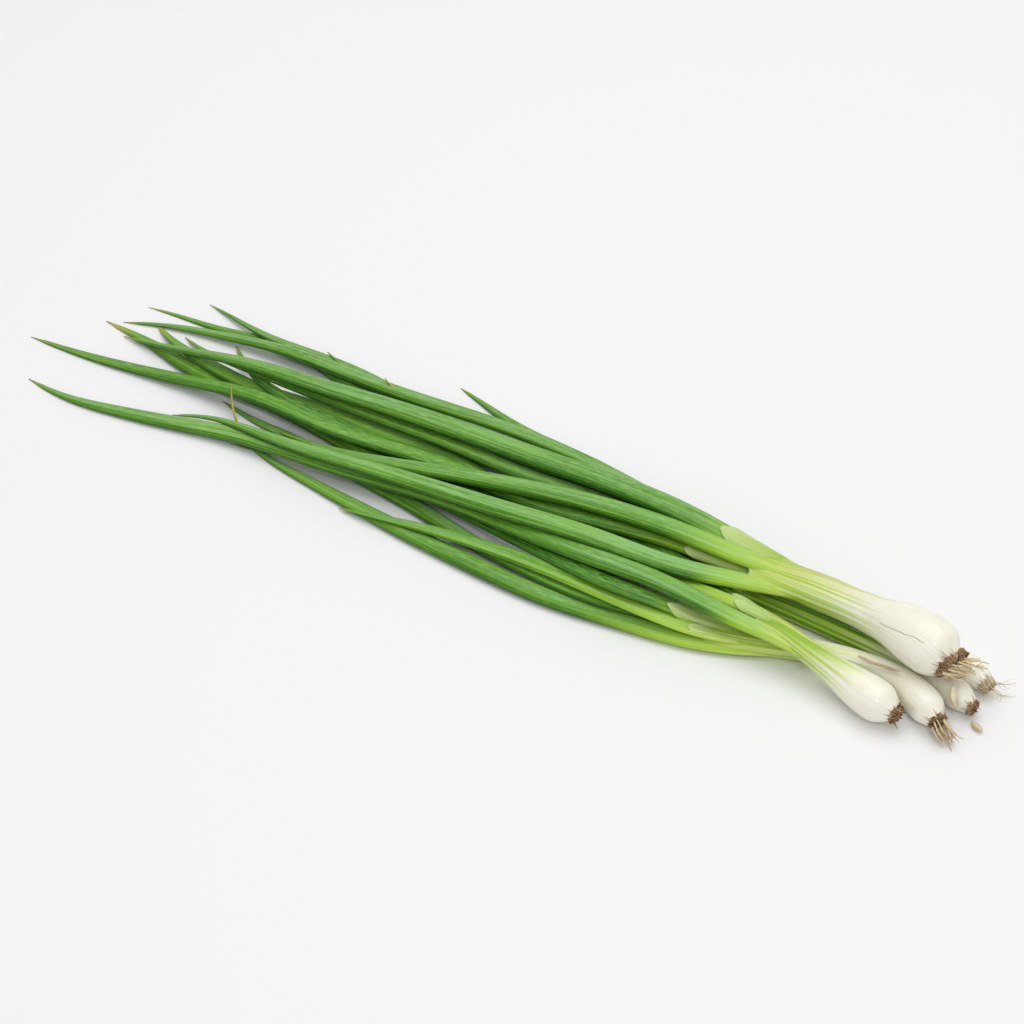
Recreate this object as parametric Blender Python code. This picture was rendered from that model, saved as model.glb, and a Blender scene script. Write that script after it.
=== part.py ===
"""A bunch of five spring onions lying on a flat surface.

Each plant is a bulb that runs into its neck (one solid), a tuft of roots, and the leaf blades that leave
the neck. Three loose scraps of dry skin lie among the bulbs. +X runs along the bunch towards the bulbs,
+Y across it and +Z up; the origin is at the bottom centre of the bunch. All the numbers below are in
millimetres.

The leaves are laid one by one, in the order of LEAVES. A leaf's route is given in plan, and its height
follows from what lies under it: it rests on the surface, or on the necks and leaves laid before it.
"""

import math
from collections import namedtuple

import bmesh
import bpy
import numpy as np
from mathutils import Vector

MM = 0.001

GAP = 0.45  # clearance between pieces that touch
LEAF_FLATNESS = 0.55  # a blade's thickness over its width
SKIN_FLATNESS = 0.16
LEAF_SIDES = 8
STEM_SIDES = 12
LEAF_PITCH = 15.0  # length of one straight stretch of a blade
ROUTE_SAMPLES = 60  # points on which a blade's length is measured
LAY_STEP = 4.0  # spacing of the points at which heights are compared
ALONGSIDE = 0.8  # how far ahead of a laid point, in spacings, another still lies beside it
STIFFNESS_REACH = 45.0  # length over which a blade smooths out a bump below it
LIFT_ROUNDS = 3  # times that a blade's straight stretches are lifted clear of what they rest on
STEM_PITCH = 8.0
STEM_SAMPLES = 8  # points per STEM_PITCH on the smooth axis that a stem's sections are picked from
STEM_SKIP = 12  # points between two sections
CAP_LIFT = 0.5  # clearance between a bulb's root plate and its root tuft
TUFT_CLEARANCE = 0.1  # how far a root tuft stays above the surface
TUFT_END = 0.6  # half width of a tuft at its tip
MIDDLE = (-0.3, -2.7)  # middle of the bunch in the plan coordinates below

# Bulb and neck of each plant, from the root plate to where the leaves part:
# x, y, height of the axis, half width, half height.
STEMS = {
    "a": (
        (205, -21, 19.8, 4.0, 4.0),
        (202.5, -19, 20.6, 8.5, 8.5),
        (195, -14.5, 22.6, 12.3, 12.3),
        (186, -11.5, 21.8, 11.2, 11.2),
        (175, -8.5, 19.6, 8.4, 8.2),
        (161, -5.5, 17.2, 7.5, 7.2),
        (138, -4.0, 16.4, 8.6, 6.8),
        (112, -3.5, 14.8, 13.0, 5.6),
    ),
    "b": (
        (194.5, -40.5, 7.9, 2.4, 2.4),
        (191.5, -39.8, 8.0, 6.2, 6.2),
        (184.5, -38, 8.2, 8.9, 8.9),
        (176, -36, 8.9, 7.9, 7.9),
        (166, -34.5, 11.4, 5.8, 5.8),
        (153, -32, 13.8, 5.2, 5.0),
        (140, -28.5, 15.2, 6.2, 4.9),
        (129, -27.5, 14.4, 9.0, 4.8),
    ),
    "c": (
        (209.5, -35.2, 6.6, 2.4, 2.4),
        (206.5, -33.2, 7.0, 5.6, 5.6),
        (200, -28.5, 7.2, 7.5, 7.5),
        (191, -23.5, 6.6, 5.9, 5.9),
        (179, -20.5, 5.4, 4.8, 4.8),
        (164, -21, 4.9, 4.4, 4.4),
        (149, -25, 4.9, 4.6, 4.5),
        (133, -30, 4.7, 5.6, 4.4),
        (110, -35.5, 4.6, 8.0, 4.2),
    ),
    "d": (
        (218, -21, 5.0, 2.0, 2.0),
        (216, -20, 5.2, 4.2, 4.2),
        (211, -18, 5.5, 5.8, 5.8),
        (200, -14.5, 5.0, 4.9, 4.9),
        (183, -11.5, 4.4, 4.0, 4.0),
        (154, -9, 4.3, 4.0, 4.0),
        (133, -7.7, 4.3, 4.3, 4.1),
        (116, -7.2, 4.4, 5.0, 4.2),
    ),
    "e": (
        (219, -8, 5.2, 2.0, 2.0),
        (217, -7, 5.4, 4.2, 4.2),
        (212, -4.5, 5.7, 6.0, 6.0),
        (200, -2, 5.2, 5.0, 5.0),
        (183, 0.5, 4.4, 4.1, 4.1),
        (150, 1.8, 4.3, 4.1, 4.0),
        (133, 3, 4.3, 4.6, 4.1),
        (114, 4, 4.4, 6.0, 4.2),
    ),
}

# Root tuft of each plant: length, half width at the plate, half width at its widest, direction of its tip.
TUFTS = {
    "a": (13.0, 4.2, 4.8, (0.82, 0.56, -0.08)),
    "b": (4.5, 2.6, 2.9, (0.95, -0.35, -0.15)),
    "c": (10.5, 2.8, 3.2, (0.72, -0.60, -0.35)),
    "d": (4.0, 2.3, 2.6, (0.88, -0.45, -0.20)),
    "e": (8.0, 2.6, 3.4, (0.98, 0.10, -0.22)),
}

# Half width of a tuft along its length, as shares of its length and of its widest half width.
TUFT_SHAPE = ((0.12, 1.0), (0.35, 0.8), (0.65, 0.5))
TUFT_BEND_FROM, TUFT_BEND_RATE = 0.12, 1.6  # where a tuft starts to turn to its tip's direction, and how fast

# Half width of a blade along its length, as shares of the length from the neck.
BROAD = ((0, 0.92), (0.15, 1.0), (0.45, 0.93), (0.70, 0.72), (0.86, 0.42), (0.96, 0.20), (1, 0.09))
EVEN = ((0, 0.85), (0.12, 1.0), (0.60, 0.93), (0.78, 0.84), (0.90, 0.56), (0.97, 0.25), (1, 0.09))
NARROW_FOOT = ((0, 0.60), (0.20, 0.95), (0.60, 1.0), (0.83, 0.72), (0.94, 0.36), (1, 0.10))
FULL_TIP = ((0, 0.56), (0.20, 0.90), (0.65, 1.0), (0.86, 0.88), (0.95, 0.45), (1, 0.10))

Leaf = namedtuple("Leaf", "name plant foot_height half_width taper route")

# The blades in the order they are laid, from the bottom of the bunch to the top.
LEAVES = (
    Leaf("onion_c_leaf_1", "c", 2.6, 4.4, BROAD,
         ((108.5, -40.5), (74, -44), (55, -47), (9, -45), (-56, -38), (-83, -34), (-96, -33), (-108, -29),
          (-114, -24))),
    Leaf("onion_c_leaf_2", "c", 2.1, 3.6, NARROW_FOOT,
         ((108.3, -33.2), (90, -38.5), (54, -42), (40, -38), (19, -37), (-25, -27), (-62, -23), (-88, -16),
          (-106, -17), (-130, -11))),
    Leaf("onion_d_leaf_1", "d", 2.2, 4.0, FULL_TIP,
         ((114.5, -9.7), (78, -17), (20, -20), (-4, -18), (-67, -10), (-95, -5), (-121, -3), (-145, -4),
          (-175, 4), (-205, 8))),
    Leaf("onion_d_leaf_2", "d", 2.2, 3.7, FULL_TIP,
         ((114.5, -4.8), (70, -8), (14, -5), (-2, -2), (-18, 6), (-57, 2), (-89, 2), (-115, -5),
          (-137, 0), (-165, 5), (-184, 17))),
    Leaf("onion_e_leaf_1", "e", 2.1, 3.0, NARROW_FOOT,
         ((112.5, -0.2), (16, 12), (-65, 19), (-85, 22), (-96, 25), (-125, 33), (-154, 27), (-172, 26),
          (-186, 28), (-194, 25))),
    Leaf("onion_e_leaf_2", "e", 2.1, 3.1, NARROW_FOOT,
         ((112.5, 4), (66, 11), (20, 20), (-52, 25), (-83, 31), (-105, 30), (-138, 30), (-154, 36),
          (-171, 40))),
    Leaf("onion_e_leaf_3", "e", 2.1, 3.0, NARROW_FOOT,
         ((112.5, 8.2), (68, 18), (48, 27), (38, 31), (22, 31), (1, 33), (-10, 34), (-30, 42), (-44, 46))),
    Leaf("onion_c_leaf_3", "c", 6.2, 2.7, BROAD,
         ((108.5, -38), (88, -41), (72, -40), (21, -37), (-16, -40), (-38, -44), (-51, -43))),
    Leaf("onion_c_leaf_4", "c", 5.8, 3.4, BROAD,
         ((107.8, -31.8), (91, -38), (66, -38), (33, -30), (-25, -22), (-54, -25), (-75, -27), (-85, -27),
          (-100, -32), (-112, -32))),
    Leaf("onion_d_leaf_3", "d", 6.2, 3.4, NARROW_FOOT,
         ((114.5, -9.5), (31, -12), (-20, -8), (-46, -5), (-81, -5), (-103, -6), (-127, 4), (-133, 11),
          (-145, 22))),
    Leaf("onion_e_leaf_4", "e", 6.2, 3.4, NARROW_FOOT,
         ((112.5, 1.5), (88, 9), (43, 16), (-12, 13), (-50, 10), (-87, 9))),
    Leaf("onion_d_leaf_4", "d", 6.2, 3.5, NARROW_FOOT,
         ((114.5, -4.8), (57, 8), (21, 8), (2, 6), (-15, 7), (-93, 3), (-116, 0), (-140, 6), (-160, 10),
          (-168, 16))),
    Leaf("onion_e_leaf_5", "e", 6.2, 3.4, NARROW_FOOT,
         ((112.5, 6.5), (62, 18), (25, 27), (-4, 30), (-65, 25), (-84, 25), (-164, 21), (-184, 17),
          (-192, 15), (-198, 11))),
    Leaf("onion_b_leaf_1", "b", 10.9, 2.8, BROAD, ((127.5, -28), (86, -19), (64, -18), (10, -16))),
    Leaf("onion_b_leaf_2", "b", 11.6, 3.2, NARROW_FOOT,
         ((127.3, -21.4), (117, -17.5), (98, -11), (69, -4), (19, -4), (-3, -6), (-29, -5))),
    Leaf("onion_b_leaf_3", "b", 16.0, 2.9, BROAD,
         ((127.5, -24.8), (99, -21), (77, -20), (15, -16), (-37, -16))),
    Leaf("onion_b_leaf_4", "b", 14.2, 4.3, EVEN,
         ((127.5, -32), (85, -31), (57, -31), (-6, -24), (-61, -29), (-121, -30), (-141, -35), (-175, -41),
          (-189, -44), (-212, -40))),
    Leaf("onion_a_leaf_1", "a", 11.9, 3.8, EVEN,
         ((110.5, -4), (84, -2), (58, -5), (9, -9), (-31, -6), (-78, -12), (-128, -10), (-179, -14),
          (-194, -16), (-228, -17))),
    Leaf("onion_a_leaf_2", "a", 14.2, 5.3, BROAD,
         ((110.5, 5.8), (87, 10), (23, 14), (-11, 12), (-60, 9), (-114, 0), (-140, 2), (-168, 1),
          (-192, 3))),
    Leaf("onion_a_leaf_3", "a", 17.0, 4.6, BROAD,
         ((110.5, -2.6), (98, -1), (76, -1), (54, -1), (-13, -13), (-41, -15), (-74, -19), (-96, -18))),
    Leaf("onion_a_leaf_4", "a", 14.2, 4.5, BROAD,
         ((109.5, -12.8), (101, -17.5), (94, -19.5), (81, -21), (39, -24), (-22, -26), (-85, -29),
          (-109, -27), (-129, -24), (-144, -29))),
)

# A plant's neck lies under the leaves laid after this leaf.
NECK_LAID_BEFORE = {"onion_b_leaf_1": "b", "onion_a_leaf_1": "a"}

# Scraps of dry skin: x, y, z, half width.
SKINS = {
    "dry_skin_strip": ((190, -25.5, 13.6, 0.7), (183, -24.5, 11.8, 0.9), (176, -24, 10.8, 0.8),
                       (171, -24, 11.4, 0.5)),
    "dry_skin_flake_large": ((209, -22.5, 14.5, 1.0), (211, -24.5, 10.5, 1.9), (213, -26, 6.5, 1.0)),
    "dry_skin_flake_small": ((219.5, -24.5, 1.0, 0.6), (222, -26, 1.0, 1.5), (225, -27, 1.0, 0.7)),
}

SHEATH = ((0.86, 0.90, 0.74), 0.32)
ROOT = ((0.50, 0.36, 0.17), 0.85)
BLADE = ((0.16, 0.42, 0.08), 0.42)
DRY_SKIN = ((0.80, 0.68, 0.42), 0.6)


def clear_scene():
    for obj in list(bpy.data.objects):
        bpy.data.objects.remove(obj)


def new_collection(name):
    collection = bpy.data.collections.new(name)
    bpy.context.scene.collection.children.link(collection)
    return collection


def new_material(name, look):
    colour, roughness = look
    material = bpy.data.materials.new(name)
    material.use_nodes = True
    shader = material.node_tree.nodes["Principled BSDF"]
    shader.inputs["Base Color"].default_value = (*colour, 1)
    shader.inputs["Roughness"].default_value = roughness
    shader.inputs["Metallic"].default_value = 0
    return material


def add_origin(collection):
    """The empty that carries the pieces: it puts the middle of the bunch at the origin."""
    origin = bpy.data.objects.new("bunch_origin", None)
    origin.location = (-MIDDLE[0] * MM, -MIDDLE[1] * MM, 0)
    collection.objects.link(origin)
    return origin


def add_object(name, data, look, origin):
    obj = bpy.data.objects.new(name, data)
    data.materials.append(new_material(name, look))
    obj.parent = origin
    origin.users_collection[0].objects.link(obj)
    return obj


def distance_along(points):
    steps = np.linalg.norm(np.diff(points, axis=0), axis=1)
    return np.concatenate([[0], np.cumsum(steps)])


def smooth_curve(rows, count):
    """count points, evenly spaced, on the smooth curve through rows, whose first columns are a place."""
    rows = np.array(rows, float)
    along = distance_along(rows[:, :2])
    slope = np.gradient(rows, along, axis=0)
    at = np.linspace(0, along[-1], count)
    i = np.clip(np.searchsorted(along, at, side="right") - 1, 0, len(rows) - 2)
    span = (along[i + 1] - along[i])[:, None]
    t = (at - along[i])[:, None] / span
    start = rows[i] * (2 * t**3 - 3 * t**2 + 1) + slope[i] * span * (t**3 - 2 * t**2 + t)
    end = rows[i + 1] * (3 * t**2 - 2 * t**3) + slope[i + 1] * span * (t**3 - t**2)
    return start + end


def evenly(rows, step):
    """The same broken line with a point about every step millimetres."""
    along = distance_along(rows[:, :2])
    at = np.linspace(0, along[-1], max(int(along[-1] / step), 2) + 1)
    return np.stack([np.interp(at, along, column) for column in rows.T], axis=1)


def lowest_clear(line, laid):
    """The height at which each point of line (x, y, z, half width, half height) clears all that is laid."""
    height = line[:, 4].copy()
    for below in laid:
        heading = np.gradient(below[:, :2], axis=0)
        pitch = np.linalg.norm(heading, axis=1)
        heading = heading / pitch[:, None]
        apart = line[:, None, :2] - below[None, :, :2]
        ahead = (apart * heading[None]).sum(axis=2)
        aside = np.sqrt(np.maximum((apart**2).sum(axis=2) - ahead**2, 0))
        reach = line[:, None, 3] + below[None, :, 3] + GAP
        over = (aside < reach) & (np.abs(ahead) <= ALONGSIDE * pitch[None])
        lift = (line[:, None, 4] + below[None, :, 4] + GAP) * np.sqrt(np.clip(1 - (aside / reach) ** 2, 0, 1))
        height = np.maximum(height, np.where(over, below[None, :, 2] + lift, 0).max(axis=1))
    return height


def settle(lowest, foot_height):
    """The heights of a springy blade that starts at foot_height and rests on lowest."""
    lowest = lowest.copy()
    lowest[0] = foot_height
    height = lowest.copy()
    for _ in range(int((STIFFNESS_REACH / LAY_STEP) ** 2 / 2)):
        relaxed = height.copy()
        relaxed[1:-1] = 0.5 * height[1:-1] + 0.25 * (height[:-2] + height[2:])
        height = np.maximum(relaxed, lowest)
    return height


def lay_leaf(leaf, laid):
    """The blade's points (x, y, z, half width, half height), each stretch about LEAF_PITCH long."""
    length = distance_along(smooth_curve(leaf.route, ROUTE_SAMPLES))[-1]
    count = int(round(length / LEAF_PITCH)) + 1
    plan = smooth_curve(leaf.route, count)
    share = distance_along(plan) / distance_along(plan)[-1]
    half = leaf.half_width * np.interp(share, *np.array(leaf.taper).T)
    blade = np.column_stack([plan, np.zeros(count), half, half * LEAF_FLATNESS])
    fine = evenly(blade, LAY_STEP)
    at = distance_along(blade[:, :2])
    fine_at = distance_along(fine[:, :2])
    others = [points for name, points in laid.items() if name != leaf.plant]
    lowest = lowest_clear(fine, others)
    blade[:, 2] = np.interp(at, fine_at, settle(lowest, leaf.foot_height))
    for _ in range(LIFT_ROUNDS):
        for i in range(1, count):
            short = (lowest - np.interp(fine_at, at, blade[:, 2]))[1:]
            within = short[(fine_at[1:] >= at[i - 1]) & (fine_at[1:] <= at[i])]
            blade[max(i - 1, 1) : i + 1, 2] += max(within.max(), 0)
    return blade


def stem_axis(plant):
    """Sections of a bulb and its neck: those of STEMS, with more between them on a smooth curve."""
    rows = np.array(STEMS[plant], float)
    count = STEM_SAMPLES * (int(distance_along(rows[:, :3])[-1] / STEM_PITCH) + 1)
    dense = smooth_curve(rows, count)
    given = distance_along(rows[:, :2])
    keep = set(range(0, count, STEM_SKIP))
    keep.update(int(round(at * (count - 1))) for at in given / given[-1])
    return dense[sorted(keep)]


def loft(name, axis, sides, look, origin):
    """A closed solid through elliptical sections square to its axis, flattened where it meets the surface."""
    mesh = bmesh.new()
    rings = []
    heading = np.gradient(axis[:, :3], axis=0)
    for row, direction in zip(axis, heading):
        forward = Vector(direction).normalized()
        across = forward.cross(Vector((0, 0, 1))).normalized()
        upward = across.cross(forward)
        ring = []
        for k in range(sides):
            angle = 2 * math.pi * (k + 0.5) / sides + math.pi / 2
            offset = across * (row[3] * math.cos(angle)) + upward * (row[4] * math.sin(angle))
            corner = Vector(row[:3]) + offset
            corner.z = max(corner.z, 0)
            ring.append(mesh.verts.new(corner * MM))
        rings.append(ring)
    for ring, following in zip(rings, rings[1:]):
        for k in range(sides):
            after = (k + 1) % sides
            mesh.faces.new((ring[k], ring[after], following[after], following[k]))
    mesh.faces.new(rings[0])
    mesh.faces.new(rings[-1])
    bmesh.ops.recalc_face_normals(mesh, faces=mesh.faces)
    data = bpy.data.meshes.new(name)
    mesh.to_mesh(data)
    mesh.free()
    data.shade_smooth()
    return add_object(name, data, look, origin)


def tuft_axis(plant):
    """Sections of the root tuft, starting just off the plate and bending towards the tuft's direction."""
    plate = Vector(STEMS[plant][0][:3])
    outward = (plate - Vector(STEMS[plant][1][:3])).normalized()
    length, foot, widest, direction = TUFTS[plant]
    tip = Vector(direction).normalized()
    profile = [(0, foot), *((share, widest * part) for share, part in TUFT_SHAPE), (1, TUFT_END)]
    rows = []
    for share, half in profile:
        bend = TUFT_BEND_RATE * max(0, share - TUFT_BEND_FROM)
        turned = outward.lerp(tip, min(1, bend))
        place = plate + outward * CAP_LIFT + turned * (length * share)
        rows.append((place.x, place.y, max(place.z, half + TUFT_CLEARANCE), half, half))
    return np.array(rows)


def section(name, flatness, sides, collection):
    """The flattened outline that a blade or a strip of skin is swept with."""
    curve = bpy.data.curves.new(name, "CURVE")
    curve.dimensions = "2D"
    spline = curve.splines.new("POLY")
    spline.points.add(sides - 1)
    for k, point in enumerate(spline.points):
        angle = -2 * math.pi * k / sides
        point.co = (MM * math.cos(angle), MM * flatness * math.sin(angle), 0, 1)
    spline.use_cyclic_u = True
    guide = bpy.data.objects.new(name, curve)
    guide.hide_render = True
    guide.display_type = "WIRE"
    collection.objects.link(guide)
    return guide


def sweep(name, rows, outline, look, origin):
    """A solid swept along rows (x, y, z, half width), its flat side kept level."""
    curve = bpy.data.curves.new(name, "CURVE")
    curve.dimensions = "3D"
    curve.twist_mode = "Z_UP"
    curve.bevel_mode = "OBJECT"
    curve.bevel_object = outline
    curve.use_fill_caps = True
    spline = curve.splines.new("POLY")
    spline.points.add(len(rows) - 1)
    for point, row in zip(spline.points, rows):
        point.co = (row[0] * MM, row[1] * MM, row[2] * MM, 1)
        point.radius = row[3]
    return add_object(name, curve, look, origin)


def build():
    clear_scene()
    origin = add_origin(new_collection("spring_onion_bunch"))
    guides = new_collection("guides")
    blade_section = section("blade_section", LEAF_FLATNESS, LEAF_SIDES, guides)
    skin_section = section("skin_section", SKIN_FLATNESS, LEAF_SIDES, guides)
    necks = {plant: stem_axis(plant) for plant in STEMS}
    for plant, axis in necks.items():
        loft(f"onion_{plant}_bulb", axis, STEM_SIDES, SHEATH, origin)
        loft(f"onion_{plant}_root_tuft", tuft_axis(plant), LEAF_SIDES, ROOT, origin)
    laid = {plant: evenly(necks[plant], LAY_STEP) for plant in "cde"}
    for leaf in LEAVES:
        if leaf.name in NECK_LAID_BEFORE:
            plant = NECK_LAID_BEFORE[leaf.name]
            laid[plant] = evenly(necks[plant], LAY_STEP)
        blade = lay_leaf(leaf, laid)
        laid[leaf.name] = evenly(blade, LAY_STEP)
        sweep(leaf.name, blade, blade_section, BLADE, origin)
    for name, rows in SKINS.items():
        sweep(name, rows, skin_section, DRY_SKIN, origin)


build()
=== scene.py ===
"""Looks of the spring onion bunch: bulbs with their sheaths, leaves, roots and dry skin, built around the
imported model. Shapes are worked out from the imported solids, in millimetres, and scaled when a mesh is made."""

import math
from collections import namedtuple

import bpy
import numpy as np
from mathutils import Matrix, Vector


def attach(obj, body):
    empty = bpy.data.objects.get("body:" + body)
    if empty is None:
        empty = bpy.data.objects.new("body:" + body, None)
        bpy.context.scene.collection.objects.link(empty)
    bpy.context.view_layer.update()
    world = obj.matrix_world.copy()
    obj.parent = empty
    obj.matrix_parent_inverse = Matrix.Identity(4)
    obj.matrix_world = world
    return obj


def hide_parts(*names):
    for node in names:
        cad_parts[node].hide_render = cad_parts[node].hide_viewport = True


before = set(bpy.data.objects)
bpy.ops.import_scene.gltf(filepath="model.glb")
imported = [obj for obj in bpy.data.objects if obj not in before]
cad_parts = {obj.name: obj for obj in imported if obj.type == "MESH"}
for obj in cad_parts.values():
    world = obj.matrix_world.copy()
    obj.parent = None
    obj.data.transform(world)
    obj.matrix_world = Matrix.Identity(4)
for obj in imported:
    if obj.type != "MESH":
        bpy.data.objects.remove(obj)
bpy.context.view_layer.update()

MM = 0.001
LEVEL = np.array((1.0, 0.0, 0.0))
UPRIGHT = np.array((0.0, 0.0, 1.0))

# Camera: where it looks, how far off it stands, and its angles round and above the bunch.
AIM = Vector((0.0183, -0.0173, 0.012))
DISTANCE = 0.98
AZIMUTH, ELEVATION = math.radians(29), math.radians(45)
LENS = 85
SENSOR = 36

# Studio: half the floor's side, its lightness, the even light from all round, and the two lamps, each with
# its place, its width and its power in watts.
FLOOR_REACH = 4.0
FLOOR_LIGHTNESS = 0.88
SURROUNDING_LIGHT = 0.60
LAMPS = {"softbox_above": ((0.0, 0.3, 1.5), 1.5, 11.0), "softbox_front": ((0.5, -0.5, 0.9), 0.22, 1.3)}

PLANTS = {"a": 4, "b": 4, "c": 4, "d": 4, "e": 5}  # how many leaves each plant has

PACKED_LEAF_CORNERS, PACKED_STEM_CORNERS = 8, 12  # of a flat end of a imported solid
UNLIMITED = 1e9
FLOOR_GAP = 0.05  # the least height of a leaf, a crust or a scrap above the floor
SHEATH_FLOOR_GAP = 0.03

SPACING = 2.5  # between the rings of a leaf
LEAF_SIDES = 32
LEAF_FULLNESS = 1.06  # a leaf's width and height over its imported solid's
WIDTH_SWING, HEIGHT_SWING = 0.04, 0.08  # how far its width and its height wander round that
STEM_SPACING = 1.0
STEM_SIDES = 80
ROOTED = 42  # how far a leaf runs back inside its neck
ROOTED_SHARE = 0.45  # the most of its neck that a leaf runs back through
ROOTED_NARROWING = 0.012  # how much narrower it gets for each millimetre of that
PROUD_REACH = 30  # how far back inside its neck a leaf may stand proud of it
LIGHT_AND_BLOOM_SIDE = (0.0, 0.75, 0.66)  # the side of the bunch that faces the light and has kept the leaves' bloom; towards it leaves get painted sheen, away from it painted shade
SHEATH_REACH = 16  # how far past the fork a sheath may run
# Before the fork: where a sheath starts to be drawn over the leaves, and the length over which it does so;
# then the same for its sinking in between the leaves.
DRAWN_FROM, DRAWN_OVER = 38, 34
CREASED_FROM, CREASED_OVER = 16, 14
CREASE_LIMIT = 0.6  # the least radius of a crease, as a share of the tight skin's
SHEATH_CLEARANCE = 0.2  # between a drawn sheath and the leaves in it
SHOULDER = 0.15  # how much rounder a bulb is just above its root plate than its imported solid
RIDGES = (17, 29)  # counts of fine ridges round a neck
RIM_FOLD = ((0.6, 0.4), (2.5, 0.6), (6, 0.8), (12, 1.1))  # how far behind the rim, how deep below the skin
FAR_FROM_SEAM = 50.0
TONGUE_RINGS = 30
TONGUE_FULLNESS = 1.09  # a tongue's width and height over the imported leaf's
TONGUE_THICKNESS, SCRAP_THICKNESS = 0.12, 0.25
STRIP_SIDES = 14  # points across a thin strip of skin
ROOT_RINGS, ROOT_SIDES = 14, 6
CRUST_SIDES = 40
CRUST_OUT = (-1.4, -0.8, -0.1, 0.4, 0.7, 0.8, 0.8, 0.7)  # of each ring, as shares of the crust's thickness
CRUST_SIZE = (0.90, 1.02, 1.06, 0.95, 0.75, 0.5, 0.25, 0.08)  # of each ring, as shares of the root plate
ROOT_SEEDS = 100  # what a plant's random seed is raised by for its roots
WISP_SIDES, WISP_SPACING = 10, 0.6

# How a leaf looks: tone from dark to light, strength of its whitish bloom and painted sheen on its lit side, how
# far from the fork it is lime green, share of its tip that has dried, and how far it stands proud of its neck
# where it leaves it.
LeafLook = namedtuple("LeafLook", "tone bloom lime dry proud")
LEAVES = {
    "onion_a_leaf_1": LeafLook(0.35, 0.3, 60, 0.006, 0.0),
    "onion_a_leaf_2": LeafLook(0.40, 0.7, 26, 0.006, 0.0),
    "onion_a_leaf_3": LeafLook(0.65, 0.8, 36, 0.006, 0.16),
    "onion_a_leaf_4": LeafLook(0.60, 1.0, 16, 0.006, 0.12),
    "onion_b_leaf_1": LeafLook(0.65, 0.1, 90, 0.006, 0.0),
    "onion_b_leaf_2": LeafLook(0.10, 0.1, 20, 0.006, 0.0),
    "onion_b_leaf_3": LeafLook(0.80, 0.2, 90, 0.006, 0.0),
    "onion_b_leaf_4": LeafLook(0.55, 0.9, 18, 0.006, 0.14),
    "onion_c_leaf_1": LeafLook(0.75, 0.6, 50, 0.02, 0.10),
    "onion_c_leaf_2": LeafLook(0.60, 0.9, 20, 0.006, 0.0),
    "onion_c_leaf_3": LeafLook(0.95, 0.7, 85, 0.006, 0.0),
    "onion_c_leaf_4": LeafLook(0.15, 0.2, 25, 0.006, 0.0),
    "onion_d_leaf_1": LeafLook(0.75, 0.3, 60, 0.03, 0.0),
    "onion_d_leaf_2": LeafLook(0.70, 0.4, 60, 0.02, 0.0),
    "onion_d_leaf_3": LeafLook(0.30, 0.3, 60, 0.01, 0.0),
    "onion_d_leaf_4": LeafLook(0.55, 0.4, 60, 0.01, 0.0),
    "onion_e_leaf_1": LeafLook(0.50, 0.4, 60, 0.01, 0.0),
    "onion_e_leaf_2": LeafLook(0.30, 0.9, 60, 0.01, 0.0),
    "onion_e_leaf_3": LeafLook(0.35, 0.5, 60, 0.006, 0.0),
    "onion_e_leaf_4": LeafLook(0.25, 0.5, 60, 0.006, 0.0),
    "onion_e_leaf_5": LeafLook(0.40, 0.9, 60, 0.006, 0.0),
}

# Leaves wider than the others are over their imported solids, and how many times.
WIDENED = {"onion_c_leaf_3": 1.45}

# Thin side tips: the leaf that one stands beside, how far before the leaf's own tip it parts from it, its
# length, the angles that it turns sideways through and climbs at, its thickness and whether it has dried.
Wisp = namedtuple("Wisp", "leaf back length turn climb thick dried")
WISPS = (
    Wisp("onion_c_leaf_1", 8, 26, -40, 30, 0.8, 1),
    Wisp("onion_e_leaf_2", 80, 10, -15, 20, 0.8, 0),
    Wisp("onion_e_leaf_5", 140, 9, -30, 20, 0.8, 1),
)

# A plant's sheath: how far past the fork its rim lies, how far the rim swings in and out, the angle where it
# reaches furthest, how green it is, and how much of it has turned ochre.
SheathLook = namedtuple("SheathLook", "rim swing furthest green ochre")
SHEATHS = {
    "a": SheathLook(-3.5, 3.5, 30, 0.05, 0.8),
    "b": SheathLook(-3.0, 3.0, 60, 0.15, 0.1),
    "c": SheathLook(-3.0, 3.0, 100, 0.05, 0.5),
    "d": SheathLook(-2.0, 2.0, 90, 0.45, 0.0),
    "e": SheathLook(-2.0, 2.0, 90, 0.45, 0.0),
}

# The seam down one bulb: its places in millimetres from the root plate, and the angle at each.
SEAMED = "a"
SEAM_PLACES = (9, 18, 30)
SEAM_ANGLES = (129, 138, 147)

# Tongues of thin skin that a sheath leaves on a leaf's base: the leaf, where along it from the fork the
# tongue starts and ends, the middle angle and the half angle that it covers.
Tongue = namedtuple("Tongue", "leaf start end middle spread")
TONGUES = (
    Tongue("onion_a_leaf_1", -20, 22, 110, 140),
    Tongue("onion_a_leaf_2", -24, 13, 60, 150),
    Tongue("onion_b_leaf_2", -18, 12, 80, 150),
    Tongue("onion_b_leaf_3", -20, 8, 80, 150),
    Tongue("onion_c_leaf_2", -20, 6, 110, 150),
    Tongue("onion_c_leaf_3", -20, 3, 90, 150),
    Tongue("onion_c_leaf_4", -20, 15, 90, 140),
    Tongue("onion_d_leaf_4", -16, 8, 90, 140),
    Tongue("onion_e_leaf_5", -16, 8, 90, 140),
)

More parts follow.
